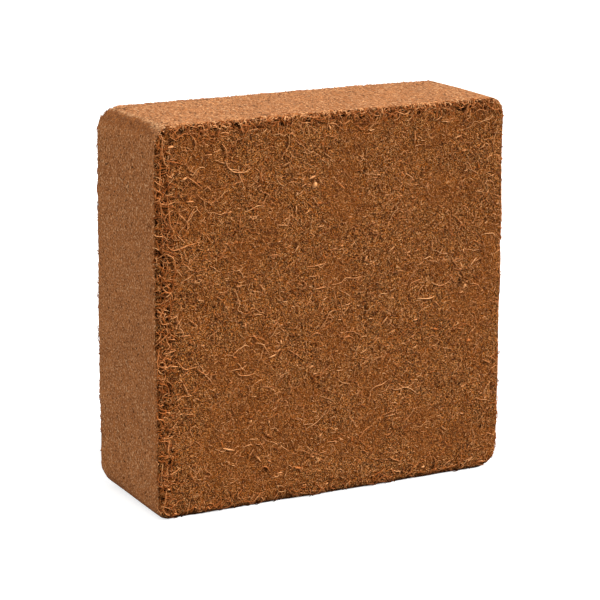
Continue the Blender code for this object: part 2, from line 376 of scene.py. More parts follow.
def mark_regions(skin, look):
    """Writes what kind of surface each point is: pressed face, torn rim or rubbed mould side."""
    points, normals = points_and_normals(skin.data)
    x, y, z = points.T
    facing, up = np.abs(normals[:, 1]), normals[:, 2]
    front, back = y < 0, y > 0
    inside, from_face, from_top = inside_outline(points), HALF.y - np.abs(y - MIDDLE.y), HIGH.z - z
    face = ramp(facing, *FACE_TURN)
    band = torn_band(points, look.rim_reach)
    # The underside of the edge is bare, because the bale was slid on it.
    clear = ramp(up, *UNDERSIDE_TURN)
    edge = ramp(inside, *EDGE_REACH)
    # On the top the torn edge reaches further over than on the sides.
    reach = look.wrap * (1 + ramp(up, 0.2, 0.8))
    wrap = ramp(from_face - reach, *WRAP_FADE)
    # Along the top edge the front crumbled away in lumps that keep the dust of the top.
    brow = ramp(up, *BROW_TURN) * ramp(facing, *BROW_FACING)
    below_top = ramp(from_top, 5 * MM, 1 * MM)
    pits = front_pits(points) * face
    # Some patches are pressed smooth, and so is the lower left of the front.
    lower_left = ramp(np.hypot(x + 70 * MM, z - 45 * MM), 60 * MM, 25 * MM) * front
    calm = np.maximum(ramp(grain(points, 30 * MM, 21), 0.0, 0.35), lower_left) * face * (1 - band)
    # The weight of the bale pressed the foot of its face shut.
    foot = 1 - 0.9 * ramp(z, *FOOT_REACH)
    torn = np.maximum(face * band * (1 + 0.5 * edge), 0.5 * wrap * (1 - face)) * clear * foot
    thinned = face * (1 - 0.6 * band) * (1 - 0.3 * edge * band) * (1 - 0.9 * pits) * (1 - 0.2 * calm) * clear
    mould = (1 - face) * (1 - wrap)
    # Towards the front the top's dust and painted light reach further round the corner. Its limit is ragged.
    towards_front = ramp(y, -20 * MM, -46 * MM) * ramp(up, 0.1, 0.6)
    ragged = 0.05 * grain(points, 8 * MM, 12) + 0.06 * grain(points, 3 * MM, 13)
    upward = ramp(up + 0.4 * towards_front + ragged * (up < 0.98), *TOP_DUST_AND_LIGHT_TURN)
    # The rounded corners of the mould sides, which the material darkens with painted shade.
    corner = mould * ramp(np.abs(up), 0.25, 0.6) * (1 - upward) * ramp(up, -0.96, -0.93)
    # Long strands gather in loose patches, along the rims, and at the upper left of the front.
    patches = ramp(grain(points, 38 * MM, 9), -0.1, 0.4)
    near_rim = torn_band(points, 2.2 * look.rim_reach) * ramp(z, 50 * MM, 160 * MM)
    upper_left = ramp(z - x, 0.23, 0.39) * front
    wild = (0.8 + patches + 1.2 * near_rim + 1.8 * upper_left) * (1 - 0.8 * pits) * clear
    marks = {
        "pressed": np.maximum(face, wrap) * (1 - 0.45 * below_top),
        "calm": calm,
        "rim": np.maximum(torn, brow),
        "brow": np.maximum(brow, face * ramp(from_top, 4.5 * MM, 2 * MM)),
        "pit": pits,
        "tangle": face * band * (1 - 0.8 * pits) * clear,
        "front": thinned * front,
        "back": thinned * back,
        "corner": corner,
        "upward": upward,
        "lip": mould * upward * ramp(up, 0.985, 0.93) * ramp(up, 0.7, 0.86),
        "settled": mould * upward,
        "mould": mould * (1 + 2.0 * corner) * (up > -0.5),
        "front_wild": wild * face * front,
        "back_wild": wild * face * back,
    }
    for name, values in marks.items():
        store(skin.data, name, values)


def lay_charts(mesh):
    """Lays the six sides of the bale flat on one sheet, which the bake then uses."""
    normals = pulled(mesh.polygons, "normal", 3)
    axis = np.abs(normals).argmax(1)
    positive = np.take_along_axis(normals, axis[:, None], 1)[:, 0] > 0
    sides = pulled(mesh.polygons, "loop_total", kind=np.int32)
    of_loop = np.repeat(np.arange(len(sides)), sides)
    points, _ = points_and_normals(mesh)
    points = points[pulled(mesh.loops, "vertex_index", kind=np.int32)] - np.array(LOW)
    wide = 2 * HALF.x + CHART_GAP
    # For each axis: which axes run across and up the chart, and how high on the sheet it stands.
    charts = ((2, 1, 2 * HALF.z + 2 * HALF.y + 2 * CHART_GAP), (0, 2, 0.0), (0, 1, 2 * HALF.z + CHART_GAP))
    map_at = np.zeros((len(points), 2))
    for number, (across, up, base) in enumerate(charts):
        mine = axis[of_loop] == number
        start = np.where(positive[of_loop[mine]], wide, 0.0)
        map_at[mine, 0] = (points[mine, across] + start + CHART_GAP) / SHEET
        map_at[mine, 1] = (points[mine, up] + base + CHART_GAP) / SHEET
    mesh.uv_layers.new(name="OFBake").uv.foreach_set("vector", map_at.astype(np.float32).ravel())


# The sizes of the coarse, the middling and the fine lumps of the skin, in mm.
GRAIN_SIZES = (7.0, 3.6, 2.5)


def sink_grain(body, look):
    """Sinks the grain and the holes in to the smooth skin. Nothing stands out of it, so the fibres bridge them."""
    mesh = body.data
    points, normals = points_and_normals(mesh)
    pressed, rim, pits = (read(mesh, name) for name in ("pressed", "rim", "pit"))
    coarse, middling, fine = (grain(points, size * MM, seed) for seed, size in enumerate(GRAIN_SIZES))
    face = look.face_grain * (0.5 + 0.3 * middling + 0.9 * fine)
    face += look.face_pit * np.maximum(0, 0.3 * coarse + 0.9 * fine - 0.34)
    torn = look.rim_pit * np.maximum(0, middling + 0.3 * coarse + 0.4 * fine + 0.08)
    side = look.side_grain * (0.5 + 0.6 * middling + 0.6 * fine)
    side += 3.5 * look.side_grain * np.maximum(0, fine + 0.4 * coarse - 0.42)
    depth = np.maximum(pressed * face + (1 - pressed) * side + rim * torn + look.front_pit * pits, 0)
    store(mesh, "sunk", depth / MM)
    points -= normals * depth[:, None]
    mesh.vertices.foreach_set("co", points.astype(np.float32).ravel())
    mesh.update()


MATH = "ShaderNodeMath"
VECTOR = "ShaderNodeVectorMath"
MIX = "ShaderNodeMix"
RANGE = "ShaderNodeMapRange"
NOISE = "ShaderNodeTexNoise"
CELLS = "ShaderNodeTexVoronoi"
# With these a Mix node mixes colours: its inputs 6 and 7 are the colours, and 0 is how much of the second shows.
OF_COLOURS = {"out": 2, "data_type": "RGBA"}
# How rough a noise is where nothing else is said.
ROUGH = 0.6


def new_material(name):
    material = bpy.data.materials.new(name)
    material.use_nodes = True
    return material, material.node_tree, material.node_tree.nodes["Principled BSDF"]


def shaded_foot(put, spot, dry, foot_shade):
    """Darkens the lowest few millimetres with painted shade, where the bale stands on the ground."""
    above = put("ShaderNodeSeparateXYZ", (spot,), "Z")
    foot = put(RANGE, (above, 5.0 * MM, 1.5 * MM, 0.0, 0.9))
    return put(MIX, {0: foot, 6: dry, 7: tuple(foot_shade)}, **OF_COLOURS)


def pressed_look(put, spot, look):
    """Colour and height of a pressed face: gaps between grains, darkened with painted shade, and bent bits of fibre.
    """
    shade, pale_bit_and_glint, pressed, bit = (tuple(c) for c in (look.shade, look.pale_bit_and_glint, look.pressed, look.bit))
    shift = put(NOISE, {"Vector": spot, "Scale": 1 / (4.5 * MM), "Detail": 1.0}, "Color", normalize=False)
    shift = put(VECTOR, {0: shift, "Scale": 2.2 * MM}, operation="SCALE")
    bent = put(VECTOR, (spot, shift), operation="ADD")

    # Real pith grains are finer. These are 0.9 mm across, about a pixel, because finer ones would not show.
    away = put(CELLS, {"Vector": bent, "Scale": 1 / (0.9 * MM)}, "Distance")
    value = put("ShaderNodeSeparateColor", (away.node.outputs["Color"],))
    face = put(MIX, {0: put(RANGE, (value, 0.0, 1.0, 0.15, 1.0)), 6: shade, 7: pressed}, **OF_COLOURS)
    height = put(RANGE, (away, 0.7, 0.2, 0.0, 0.4))
    # Real fibre is 0.1 to 0.4 mm thick. These bits are 0.7 mm wide, so that they show. Four sets run four ways.
    for turn in (0.3, 1.1, 1.9, 2.7):
        lie = {"Vector": bent, "Rotation": (0.2 * turn, turn, 0.0), "Scale": (2.0 * MM, 0.7 * MM, 0.7 * MM)}
        lie = put("ShaderNodeMapping", lie, vector_type="TEXTURE")
        away = put(CELLS, {"Vector": lie, "Scale": 1.0}, "Distance")
        value = put("ShaderNodeSeparateColor", (away.node.outputs["Color"],))
        # Half of the cells hold a bit. Few of them are pale, and the dullest are as dark as the pith.
        there = put(MATH, (value, 0.5), operation="GREATER_THAN")
        there = put(MATH, (there, put(RANGE, (away, 0.62, 0.38))), operation="MULTIPLY")
        pale = put(RANGE, (value, 0.5, 1.0))
        own = put(MIX, {0: put(MATH, (pale, 4.0), operation="POWER"), 6: bit, 7: pale_bit_and_glint}, **OF_COLOURS)
        own = put(MIX, {0: put(RANGE, (pale, 0.6, 0.0, 0.0, 0.7)), 6: own, 7: pressed}, **OF_COLOURS)
        face = put(MIX, {0: put(MATH, (there, 0.85), operation="MULTIPLY"), 6: face, 7: own}, **OF_COLOURS)
        stands = put(MATH, (there, put(RANGE, (pale, 0.0, 1.0, 0.5, 1.0))), operation="MULTIPLY")
        height = put(MATH, (height, stands), operation="MAXIMUM")
    # Two sizes of gap, darkened with painted shade, and pale specks, partly dust and partly painted highlight. Each
    # has the size of its grains in mm, the noise at which it starts and is full, and how much it then covers.
    for where, size, start, full, part, tint in (
        (spot, 0.85, 0.47, 0.56, 0.95, shade),
        (spot, 1.6, 0.62, 0.72, 0.3, shade),
        (bent, 0.8, 0.57, 0.68, 0.75, pale_bit_and_glint),
    ):
        cover = put(NOISE, {"Vector": where, "Scale": 1 / (size * MM), "Detail": 1.0, "Roughness": ROUGH})
        cover = put(RANGE, (cover, start, full, 0.0, part))
        face = put(MIX, {0: cover, 6: face, 7: tint}, **OF_COLOURS)
        if tint is shade:
            height = put(MATH, (height, cover), operation="SUBTRACT")
    return face, height


def rubbed_look(put, spot, look, stretch, clean, relief, hollow_shade):
    """Colour and height of a mould side: even dust with fine grains, small pits darkened with painted shade, and pale
    specks.
    Clean is how much fewer the pits are, and relief is how high its grains stand."""
    where = put("ShaderNodeMapping", {"Vector": spot, "Scale": stretch}, vector_type="TEXTURE")
    # Each noise: the size of its lumps in mm, and its detail. The finest is rougher than the others.
    fine, broad, warm, fleck, pit, wide_pit = (
        put(NOISE, {"Vector": where, "Scale": 1 / (size * MM), "Detail": detail, "Roughness": ROUGH})
        for size, detail in ((1.15, 2.0), (9.0, 2.0), (5.0, 2.0), (1.2, 0.0), (1.5, 0.0), (2.8, 1.0))
    )
    fine.node.inputs["Roughness"].default_value = 0.7
    pit = put(RANGE, (pit, 0.29 - clean, 0.21 - clean))
    wide_pit = put(RANGE, (wide_pit, 0.3 - 0.7 * clean, 0.26 - 0.7 * clean))
    pits = put(MATH, (pit, wide_pit), operation="MAXIMUM")
    rubbed = tuple(look.rubbed_dark)
    for part, tint in (
        (put(RANGE, (fine, 0.36 + 0.4 * clean, 0.62 + 0.4 * clean)), look.rubbed),
        (put(RANGE, (broad, 0.4, 0.75, 0.0, 0.4)), look.rubbed_dark),
        (put(RANGE, (warm, 0.52, 0.64, 0.0, 0.2)), look.rubbed_off),
        (put(RANGE, (fleck, 0.62, 0.7, 0.0, 0.55)), look.dust),
        (put(MATH, (pits, 0.85), operation="MULTIPLY"), hollow_shade),
    ):
        rubbed = put(MIX, {0: part, 6: rubbed, 7: tuple(tint)}, **OF_COLOURS)
    height = put(MATH, (fine, pits), operation="SUBTRACT")
    return rubbed, put(MATH, (height, relief), operation="MULTIPLY")


def pith_material(look):
    """Pressed coir pith: a dry cork-like dust, which gives no gloss, with short bits of fibre bedded in it.
    The pressed faces show dark holes between tan bits. The mould rubbed its sides to a paler, even dust."""
    material, tree, shader = new_material("pressed coir pith")
    put = partial(add, tree)
    spot = put("ShaderNodeTexCoord", out="Object")
    names = ("pressed", "sunk", "corner", "upward", "lip", "calm", "brow")
    pressed, depth, corner, upward, lip, calm, brow = (
        put("ShaderNodeAttribute", out="Fac", attribute_name=name) for name in names
    )
    # Patches of each kind: the size of their lumps in mm, their detail, the noise at which they start and are
    # full, and how much they are there.
    patches = []
    for size, detail, *levels in (
        (17.0, 1.0, 0.42, 0.62, 0.0, 0.2),
        (2.0, 2.0, 0.45, 0.62, 0.05, 0.65),
        (3.0, 3.0, 0.52, 0.6, 0.0, 0.5),
        (3.2, 2.0, 0.3, 0.7, -0.5, 0.5),
        (2.4, 0.0, 0.46, 0.4, 0.0, 0.95),
    ):
        lumps = put(NOISE, {"Vector": spot, "Scale": 1 / (size * MM), "Detail": detail, "Roughness": ROUGH})
        patches.append(put(RANGE, (lumps, *levels)))
    greyed, spotted, worn, ragged, notched = patches

    face, raised = pressed_look(put, spot, look)
    smoothed = put(MATH, (calm, 0.3), operation="MULTIPLY")
    face = put(MIX, {0: smoothed, 6: face, 7: tuple(look.smoothed)}, **OF_COLOURS)
    face = put(MIX, {0: greyed, 6: face, 7: tuple(look.greyed)}, blend_type="MULTIPLY", **OF_COLOURS)

    # The top is seen almost edge on, so its grains are drawn larger, or they would not show.
    side, side_height = rubbed_look(put, spot, look, (1.0, 1.0, 1.15), 0.01, 0.6, look.shade)
    top, top_height = rubbed_look(put, spot, look, (1.15, 2.0, 1.15), -0.05, 1.1, look.hollow_shade)
    smooth_height = put(MIX, {0: upward, 2: side_height, 3: top_height})
    # The top is tinted a little paler: partly loose dust that settles there, partly painted light, as the top takes
    # more light than the sides.
    settled = put(MATH, (upward, 0.1), operation="MULTIPLY")
    top = put(MIX, {0: settled, 6: top, 7: tuple(look.settled)}, **OF_COLOURS)
    rubbed = put(MIX, {0: upward, 6: side, 7: top}, **OF_COLOURS)
    # The most dust lies along the lip of the corners, in spots. The rounding of the corners is darkened with painted
    # shade, and it is orange in patches, where it lost its dust in the mould.
    for place, part, tint in (
        (lip, spotted, look.dust),
        (corner, 0.5, look.rubbed_dark),
        (corner, worn, look.rubbed_off),
    ):
        part = put(MATH, (place, part), operation="MULTIPLY")
        rubbed = put(MIX, {0: part, 6: rubbed, 7: tuple(tint)}, **OF_COLOURS)

    is_pressed = put(RANGE, (put(MATH, (pressed, ragged), operation="ADD"), 0.45, 0.6))
    bare = put(MIX, {0: is_pressed, 6: rubbed, 7: face}, **OF_COLOURS)
    # The notches of the top edge and the deep holes are darkened with painted shade, as little light comes out of
    # them.
    notches = put(MATH, (notched, brow), operation="MULTIPLY")
    for hole in (notches, put(RANGE, (depth, 0.7, 2.1, 0.0, 0.92))):
        bare = put(MIX, {0: hole, 6: bare, 7: tuple(look.shade)}, **OF_COLOURS)
    # The foot of the pith is darkened with painted shade.
    tree.links.new(shaded_foot(put, spot, bare, look.shade), shader.inputs["Base Color"])

    height = put(MIX, {0: is_pressed, 2: smooth_height, 3: raised})
    bump = put("ShaderNodeBump", {"Height": height, "Strength": 0.9, "Distance": 0.8 * MM})
    tree.links.new(bump, shader.inputs["Normal"])
    tree.links.new(put(RANGE, (is_pressed, 0.0, 1.0, 0.86, 0.95)), shader.inputs["Roughness"])
    shader.inputs["Specular IOR Level"].default_value = 0.05
    return material


def fibre_material(name, low, high, dusting):
    """Coir fibre: a stiff, dry bast fibre with a faint waxy sheen along it. Each fibre has its own shade
    between low and high. Pith dust clings to it in specks, which dusting makes stronger."""
    look = bpy.context.scene.coir_fibre
    material, tree, shader = new_material(name)
    put = partial(add, tree)
    spot = put("ShaderNodeTexCoord", out="Object")
    tint = put("ShaderNodeAttribute", out="Fac", attribute_name="tint")
    shade = put(RANGE, (tint, 0.0, 1.0, low, high))
    # The shade wanders along the fibre in lumps of 2.5 mm. The specks are drawn at 0.8 mm, about a pixel,
    # because real dust would not show.
    for size, *levels in ((2.5, 0.0, 1.0, -0.15, 0.15), (0.8, 0.3, 0.7, -dusting, 0.8 * dusting)):
        wander = put(NOISE, {"Vector": spot, "Scale": 1 / (size * MM), "Detail": 1.0, "Roughness": ROUGH})
        shade = put(MATH, (shade, put(RANGE, (wander, *levels))), operation="ADD")
    shade.node.use_clamp = True
    colours = put("ShaderNodeValToRGB", {"Fac": shade})
    stops = colours.node.color_ramp.elements
    stops[0].color, stops[1].color = tuple(look.dark), tuple(look.straw)
    stops.new(0.58).color = tuple(look.tan)
    # The fibres near the floor are darkened with painted shade.
    tree.links.new(shaded_foot(put, spot, colours, look.dark), shader.inputs["Base Color"])
    shader.inputs["Roughness"].default_value = 0.68
    shader.inputs["Specular IOR Level"].default_value = 0.2
    return material


FLOAT = "NodeSocketFloat"
MESH = "NodeSocketGeometry"
NAMED = "GeometryNodeInputNamedAttribute"
STORE = "GeometryNodeStoreNamedAttribute"

LAID_SIZES = (
    ("Thickness", FLOAT),
    ("Arch", FLOAT),
    ("Lowest end", FLOAT),
    ("Highest end", FLOAT),
    ("Flatness", FLOAT),
    ("Material", "NodeSocketMaterial"),
)
STREWN_SIZES = (
    ("Number per square metre", FLOAT),
    ("Shortest", FLOAT),
    ("Longest", FLOAT),
    ("Curl", FLOAT),
    ("Curl size", FLOAT),
    ("Points", "NodeSocketInt"),
    ("Seed", "NodeSocketInt"),
    ("Region", "NodeSocketString"),
)


# The part of its square on the bake's sheet that a fibre leaves free on each side.
MARGIN = 0.08
# A fibre's end is this part as thick as its middle.
TIP = 0.55
# How high the lowest fibres stay over what the bale stands on, and a depth that nothing reaches.
FLOOR_GAP = 0.4 * MM
FAR = -9
# Each kind of draw has its own seed, this far from the last one, and the draw of the length has one far from them.
SEED_STEP = 31.0
LENGTH_SEED = 500.0
# How far apart the noises of the first and the last fibre are.
OWN_NOISE = 40.0


def open_tree(name, inputs):
    """A new Geometry Nodes tree with named inputs, and its one output, Fibres."""
    tree = bpy.data.node_groups.new(name, "GeometryNodeTree")
    for title, kind in inputs:
        tree.interface.new_socket(title, in_out="INPUT", socket_type=kind)
    tree.interface.new_socket("Fibres", in_out="OUTPUT", socket_type=MESH)
    put = partial(add, tree)
    return tree, put, put("NodeGroupInput").node.outputs


def laying_tree():
    """Lays curves along a skin, their ends sunk in it, as tapered rods with a place on the bake's sheet.
    Each curve has a tint, a thick, and a start and a turn, which set how high its two ends are."""
    tree, put, given = open_tree("laid fibres", (("Curves", MESH), ("Skin", MESH), *LAID_SIZES))
    names = ("start", "turn", "thick", "along", "around", "number")
    start, turn, thick, along, around, number = (put(NAMED, {"Name": n}, data_type="FLOAT") for n in names)

    own_number = put("GeometryNodeFieldOnDomain", (put("GeometryNodeInputIndex"),), domain="CURVE", data_type="FLOAT")
    curves = put(STORE, {"Geometry": given["Curves"], "Name": "number", "Value": own_number})
    curves = put(STORE, {"Geometry": curves, "Name": "along", "Value": put("GeometryNodeSplineParameter")})
    count = put("GeometryNodeAttributeDomainSize", {"Geometry": curves}, out="Spline Count", component="CURVE")
    columns = put(MATH, (put(MATH, (count,), operation="SQRT"),), operation="CEIL")

    foot, way_out = (
        put("GeometryNodeSampleNearestSurface", {"Mesh": given["Skin"], "Value": value}, data_type="FLOAT_VECTOR")
        for value in (put("GeometryNodeInputPosition"), put("GeometryNodeInputNormal"))
    )
    # Each end has a height of its own, and the middle stands up between them.
    hump = put(MATH, (put(MATH, (along, pi), operation="MULTIPLY"),), operation="SINE")
    lean = put(MATH, (along, turn, start), operation="MULTIPLY_ADD")
    spread = put(MATH, (given["Highest end"], given["Lowest end"]), operation="SUBTRACT")
    lean = put(MATH, (lean, spread, given["Lowest end"]), operation="MULTIPLY_ADD")
    height = put(MATH, (hump, given["Arch"], lean), operation="MULTIPLY_ADD")
    # Where the face rounds over to its edges, the press left the fibres lying flat.
    facing = put("ShaderNodeSeparateXYZ", (way_out,), out="Y")
    facing = put(MATH, (facing,), operation="ABSOLUTE")
    room = put(RANGE, (facing, 0.3, 0.9, -0.1 * MM, 1.5 * MM))
    height = put(MATH, (height, room), operation="MINIMUM")
    lifted = put(VECTOR, (way_out, height, foot), operation="MULTIPLY_ADD")
    # Nothing goes below the surface that the bale stands on.
    lifted = put(VECTOR, (lifted, (FAR, FAR, FLOOR_GAP)), operation="MAXIMUM")
    curves = put("GeometryNodeSetPosition", {"Geometry": curves, "Position": lifted})
    # The flat side of each fibre lies on the skin.
    curves = put("GeometryNodeSetCurveNormal", {"Curve": curves, "Normal": way_out}, mode="FREE")

    taper = put(MATH, (hump, 1 - TIP, TIP), operation="MULTIPLY_ADD")
    radius = put(MATH, (given["Thickness"], 0.5), operation="MULTIPLY")
    for factor in (taper, thick):
        radius = put(MATH, (radius, factor), operation="MULTIPLY")
    ring = put("GeometryNodeCurvePrimitiveCircle", {"Resolution": 3, "Radius": 1.0})
    flat = put("ShaderNodeCombineXYZ", (given["Flatness"], 1.0, 1.0))
    ring = put("GeometryNodeTransform", {"Geometry": ring, "Scale": flat})
    ring = put(STORE, {"Geometry": ring, "Name": "around", "Value": put("GeometryNodeSplineParameter")})
    rods = {"Curve": curves, "Profile Curve": ring, "Scale": radius, "Fill Caps": True}
    rods = put("GeometryNodeCurveToMesh", rods)

    # Each fibre has a square of its own on the bake's sheet. The face that closes the ring ends at 1, not 0.
    face_mean = put("GeometryNodeFieldOnDomain", (around,), domain="FACE", data_type="FLOAT")
    closing = put("FunctionNodeCompare", {0: face_mean, 1: 1 / 3, "Epsilon": 0.05}, operation="EQUAL")
    at_start = put(MATH, (around, 0.1), operation="LESS_THAN")
    at_start = put(MATH, (closing, at_start), operation="MULTIPLY")
    across = put(MATH, (along, 1 - 2 * MARGIN, MARGIN), operation="MULTIPLY_ADD")
    up = put(MATH, (around, at_start), operation="ADD")
    up = put(MATH, (up, 1 - 2 * MARGIN, MARGIN), operation="MULTIPLY_ADD")
    column = put(MATH, (number, columns), operation="FLOORED_MODULO")
    row = put(MATH, (put(MATH, (number, columns), operation="DIVIDE"),), operation="FLOOR")
    square = put("ShaderNodeCombineXYZ", (put(MATH, (column, across)), put(MATH, (row, up))))
    square = put(VECTOR, (square, put("ShaderNodeCombineXYZ", (columns, columns, 1.0))), operation="DIVIDE")
    on_sheet = {"Geometry": rods, "Name": "OFBake", "Value": square}
    rods = put(STORE, on_sheet, domain="CORNER", data_type="FLOAT2")
    rods = put("GeometryNodeSetMaterial", {"Geometry": rods, "Material": given["Material"]})
    put("NodeGroupOutput", {"Fibres": put("GeometryNodeRealizeInstances", {"Geometry": rods})})
    return tree


def strewing_tree(laying):
    """Strews curled fibres by chance over a region of a skin, and lays them along it."""
    tree, put, given = open_tree("strewn fibres", (("Skin", MESH), *STREWN_SIZES, *LAID_SIZES))

    where = put(NAMED, {"Name": given["Region"]}, data_type="FLOAT")
    density = put(MATH, (given["Number per square metre"], where), operation="MULTIPLY")
    strewn = {"Mesh": given["Skin"], "Density": density, "Seed": given["Seed"]}
    points = put("GeometryNodeDistributePointsOnFaces", strewn, distribute_method="RANDOM")
    upright = points.node.outputs["Rotation"]
    # The chances of each fibre: its range, and how far its draw is from the seed.
    chances = {
        "tint": (0.0, 1.0),
        "thick": (0.65, 1.15),
        "start": (0.0, 1.0),
        "turn": (-1.0, 1.0),
        "round": (0.0, 2 * pi),
    }
    for draw, (name, (low, high)) in enumerate(chances.items(), 1):
        own_seed = put(MATH, (given["Seed"], SEED_STEP * draw))
        value = put("FunctionNodeRandomValue", {2: low, 3: high, "Seed": own_seed}, out=1)
        points = put(STORE, {"Geometry": points, "Name": name, "Value": value})

    rod = put("GeometryNodeCurvePrimitiveLine", {"Start": (-0.5, 0, 0), "End": (0.5, 0, 0)})
    rod = put("GeometryNodeResampleCurve", {"Curve": rod, "Count": given["Points"]})
    spin = put("ShaderNodeCombineXYZ", {"Z": put(NAMED, {"Name": "round"}, data_type="FLOAT")})
    spin = put("FunctionNodeEulerToRotation", (spin,))
    turned = put("FunctionNodeRotateRotation", (upright, spin), rotation_space="LOCAL")
    # Squaring the draw makes short fibres common and long ones rare.
    own_seed = put(MATH, (given["Seed"], LENGTH_SEED))
    draw = put("FunctionNodeRandomValue", {2: 0.0, 3: 1.0, "Seed": own_seed}, out=1)
    draw = put(MATH, (draw, draw), operation="MULTIPLY")
    spread = put(MATH, (given["Longest"], given["Shortest"]), operation="SUBTRACT")
    long = put(MATH, (draw, spread, given["Shortest"]), operation="MULTIPLY_ADD")
    rods = {"Points": points, "Instance": rod, "Rotation": turned, "Scale": long}
    curves = put("GeometryNodeRealizeInstances", {"Geometry": put("GeometryNodeInstanceOnPoints", rods)})

    # Each fibre curls in its own way: the fourth dimension of the noise is its own.
    own_place = put(MATH, (put(NAMED, {"Name": "tint"}, data_type="FLOAT"), OWN_NOISE), operation="MULTIPLY")
    fineness = put(MATH, (1.0, given["Curl size"]), operation="DIVIDE")
    here = put("GeometryNodeInputPosition")
    wander = {"Vector": here, "W": own_place, "Scale": fineness, "Detail": 1.0}
    wander = put(NOISE, wander, out="Color", noise_dimensions="4D", normalize=False)
    reach = put(MATH, (given["Curl"], 2.0), operation="MULTIPLY")
    wander = put(VECTOR, {0: wander, "Scale": reach}, operation="SCALE")
    curves = put("GeometryNodeSetPosition", {"Geometry": curves, "Offset": wander})

    sizes = {name: given[name] for name, _ in LAID_SIZES}
    fibres = put("GeometryNodeGroup", {"Curves": curves, "Skin": given["Skin"], **sizes}, node_tree=laying)
    put("NodeGroupOutput", {"Fibres": fibres})
    return tree


def placing_tree(laying):
    """Rounds the drawn paths to curves, and lays them along the skin of the bale."""
    own = (("Paths", MESH), ("Bale", "NodeSocketObject"), ("Step", FLOAT))
    tree, put, given = open_tree("placed fibres", (*own, *LAID_SIZES))
    curves = put("GeometryNodeMeshToCurve", {"Mesh": given["Paths"]})
    curves = put("GeometryNodeCurveSplineType", {"Curve": curves}, spline_type="CATMULL_ROM")
    curves = put("GeometryNodeResampleCurve", {"Curve": curves, "Length": given["Step"]}, mode="LENGTH")
    skin = put("GeometryNodeObjectInfo", {"Object": given["Bale"]}, out="Geometry")
    sizes = {name: given[name] for name, _ in LAID_SIZES}
    fibres = put("GeometryNodeGroup", {"Curves": curves, "Skin": skin, **sizes}, node_tree=laying)
    put("NodeGroupOutput", {"Fibres": fibres})
    return tree


# The attributes that only the trees need.
WORKING = ("along", "around", "number", "start", "turn", "round", "thick")


def grow(name, mesh, tree, settings):
    """Runs a tree on a mesh, and leaves the fibres or chips that it makes as one plain piece."""
    piece = added(name, mesh)
    modifier = piece.modifiers.new(name, "NODES")
    modifier.node_group = tree
    for socket in tree.interface.items_tree:
        if socket.in_out == "INPUT" and socket.name in settings:
            modifier[socket.identifier] = settings[socket.name]
    piece = finished(piece, name)
    attributes = piece.data.attributes
    for working in WORKING:
        if working in attributes:
            attributes.remove(attributes[working])
    piece.data.shade_smooth()
    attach(piece, "root")
    return piece


# How far the shade of a placed strand may be from that of its kind.
TINT_SPREAD = 0.06


def paths_mesh(paths, seed):
    """Bare edges through the points of each path, which carry its tint and its thickness."""
    chance = np.random.default_rng(seed)
    points, edges, tints, thick, starts, turns = [], [], [], [], [], []
    for tint, width, path in paths:
        first, count = len(points), len(path)
        points += [(x * MM, LOW.y, z * MM) for x, z in path]
        edges += [(i, i + 1) for i in range(first, first + count - 1)]
        tints += [tint + chance.uniform(-TINT_SPREAD, TINT_SPREAD)] * count
        thick += [width] * count
        starts += [chance.uniform(0, 1)] * count
        turns += [chance.uniform(-0.5, 0.5)] * count
    mesh = bpy.data.meshes.new("paths")
    mesh.from_pydata(points, edges, [])
    for name, values in (("tint", tints), ("thick", thick), ("start", starts), ("turn", turns)):
        store(mesh, name, values)
    return mesh


def region_area(skin, region):
    """The area that a region weighs, in square metres."""
    weight = read(skin.data, region)
    return sum(f.area * weight[list(f.vertices)].mean() for f in skin.data.polygons)


def skin_object():
    return bpy.data.objects["skin"]


def laid(material, thick, arch, ends, flat):
    """The inputs that every laying needs. Thick is next to a short fibre, and the other lengths are in mm."""
    lowest, highest = ends
    return {
        "Thickness": thick * bpy.context.scene.coir_fibre.thickness,
        "Arch": arch * MM,
        "Lowest end": lowest * MM,
        "Highest end": highest * MM,
        "Flatness": flat,
        "Material": material,
    }


def strew(name, region, number, seed, points, span, curl, **lay):
    """Strews so many fibres over a region of the skin, as one piece. Span is their shortest and longest, and
    curl is how far and at what size they wander, all in mm."""
    skin = skin_object()
    settings = {
        "Number per square metre": number / region_area(skin, region),
        "Shortest": span[0] * MM,
        "Longest": span[1] * MM,
        "Curl": curl[0] * MM,
        "Curl size": curl[1] * MM,
        "Points": points,
        "Seed": bpy.context.scene.coir_fibre.seed + seed,
        "Region": region,
    }
    grow(name, skin.data.copy(), bpy.data.node_groups["strewn fibres"], settings | laid(**lay))


class PressBale(bpy.types.Operator):
    """Makes the pressed body of the bale, and the smooth skin and the trees that the loose pieces need"""

    bl_idname = "coir.press_bale"
    bl_label = "Press bale"

    def execute(self, context):
        pith = context.scene.coir_pith
        skin = smooth_skin(pith.cell)
        mark_regions(skin, pith)
        body = added("pressed_pith", skin.data.copy())
        lay_charts(body.data)
        sink_grain(body, pith)
        body.data.shade_smooth()
        body.data.materials.clear()
        body.data.materials.append(pith_material(pith))
        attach(body, "root")
        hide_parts(NODE)
        laying = laying_tree()
        strewing_tree(laying)
        placing_tree(laying)
        return {"FINISHED"}


